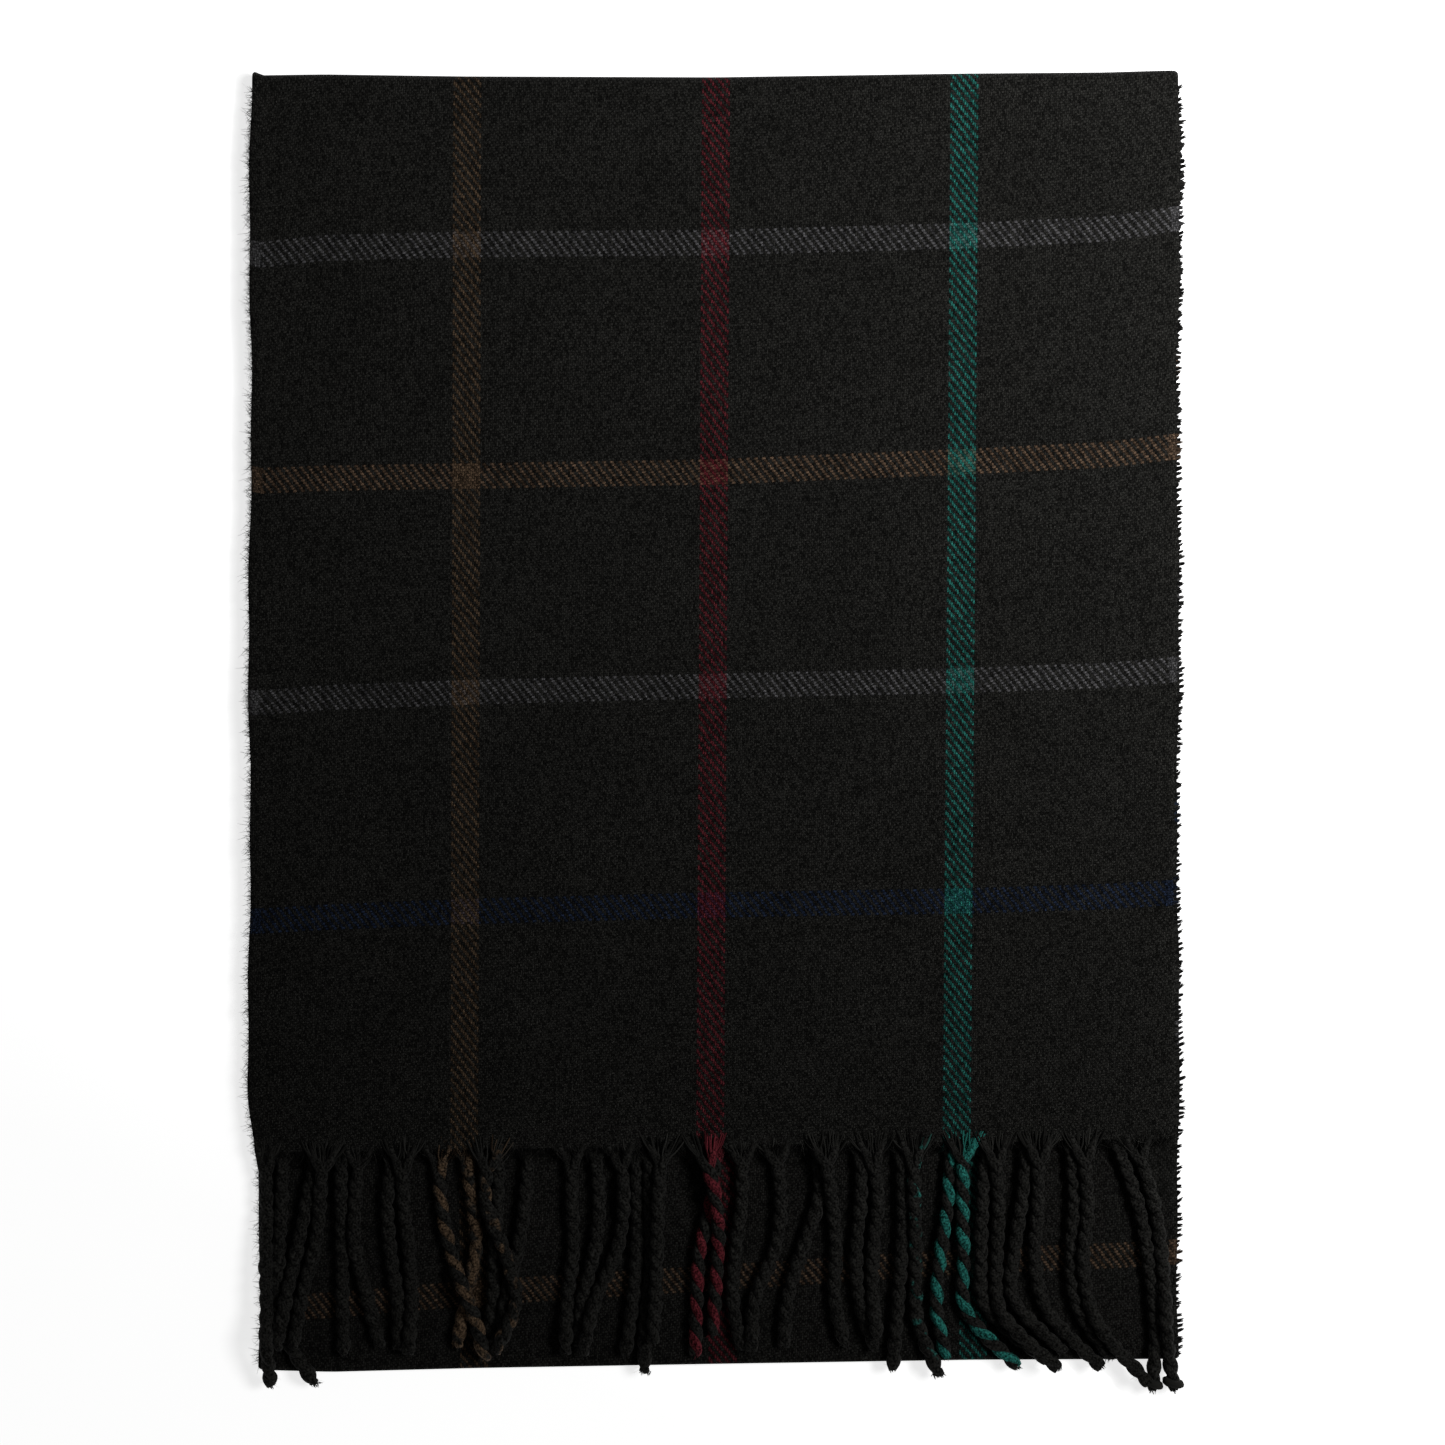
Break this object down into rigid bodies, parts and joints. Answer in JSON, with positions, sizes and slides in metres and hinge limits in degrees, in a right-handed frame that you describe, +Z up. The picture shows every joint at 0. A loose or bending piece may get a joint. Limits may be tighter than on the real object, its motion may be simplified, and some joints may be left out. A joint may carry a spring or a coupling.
{
  "type": "folded throw blanket",
  "caption": "Narrow fringed throw in dark checked twill, folded into a four-layer rectangle whose upper half opens about its top fold.",
  "frame": {"origin": "centre of the folded stack's bounding box, on the surface that it lies on", "axes": "+Z up through the layers, +Y along the cloth towards the double fold at the top, X from selvedge to selvedge"},
  "size_m": [0.32, 0.4542, 0.0145],
  "materials": {
    "twill_cloth": "brushed near-black twill with a windowpane check of brown, burgundy, green, grey and navy stripes",
    "fringe_black": "twisted near-black wool-like yarn",
    "fringe_brown": "twisted brown and black yarn",
    "fringe_burgundy": "twisted burgundy and black yarn",
    "fringe_green": "twisted teal-green and black yarn"
  },
  "bodies": {
    "lower_half": {"cloth_bottom_layer": "twill_cloth", "cloth_third_layer": "twill_cloth", "foot_fold": "twill_cloth", "top_fold_inner": "twill_cloth", "top_fold_outer": "twill_cloth"},
    "upper_half": {"cloth_top_layer": "twill_cloth", "cloth_second_layer": "twill_cloth", "fringe_cord_under_01": "fringe_black", "fringe_cord_under_02": "fringe_black", "fringe_cord_under_03": "fringe_black", "fringe_cord_under_04": "fringe_black", "fringe_cord_under_05": "fringe_brown", "fringe_cord_under_06": "fringe_black", "fringe_cord_under_07": "fringe_black", "fringe_cord_under_08": "fringe_black", "fringe_cord_under_09": "fringe_black", "fringe_cord_under_10": "fringe_black", "fringe_cord_under_11": "fringe_burgundy", "fringe_cord_under_12": "fringe_black", "fringe_cord_under_13": "fringe_black", "fringe_cord_under_14": "fringe_black", "fringe_cord_under_15": "fringe_green", "fringe_cord_under_16": "fringe_black", "fringe_cord_under_17": "fringe_black", "fringe_cord_under_18": "fringe_black", "fringe_cord_under_19": "fringe_black", "fringe_cord_upper_01": "fringe_black", "fringe_cord_upper_02": "fringe_black", "fringe_cord_upper_03": "fringe_black", "fringe_cord_upper_04": "fringe_black", "fringe_cord_upper_05": "fringe_brown", "fringe_cord_upper_06": "fringe_black", "fringe_cord_upper_07": "fringe_black", "fringe_cord_upper_08": "fringe_black", "fringe_cord_upper_09": "fringe_black", "fringe_cord_upper_10": "fringe_burgundy", "fringe_cord_upper_11": "fringe_black", "fringe_cord_upper_12": "fringe_black", "fringe_cord_upper_13": "fringe_black", "fringe_cord_upper_14": "fringe_black", "fringe_cord_upper_15": "fringe_black", "fringe_cord_upper_16": "fringe_green", "fringe_cord_upper_17": "fringe_black", "fringe_cord_upper_18": "fringe_black", "fringe_cord_upper_19": "fringe_black", "fringe_cord_upper_20": "fringe_black"}
  },
  "joints": [
    {"name": "open_top_fold", "type": "hinge", "parent": "lower_half", "child": "upper_half", "pos_m": [0, 0.22369, 0.00345], "axis": [-1, 0, 0], "range_deg": [0, 179], "deforming": ["top_fold_outer", "top_fold_inner"]}
  ]
}
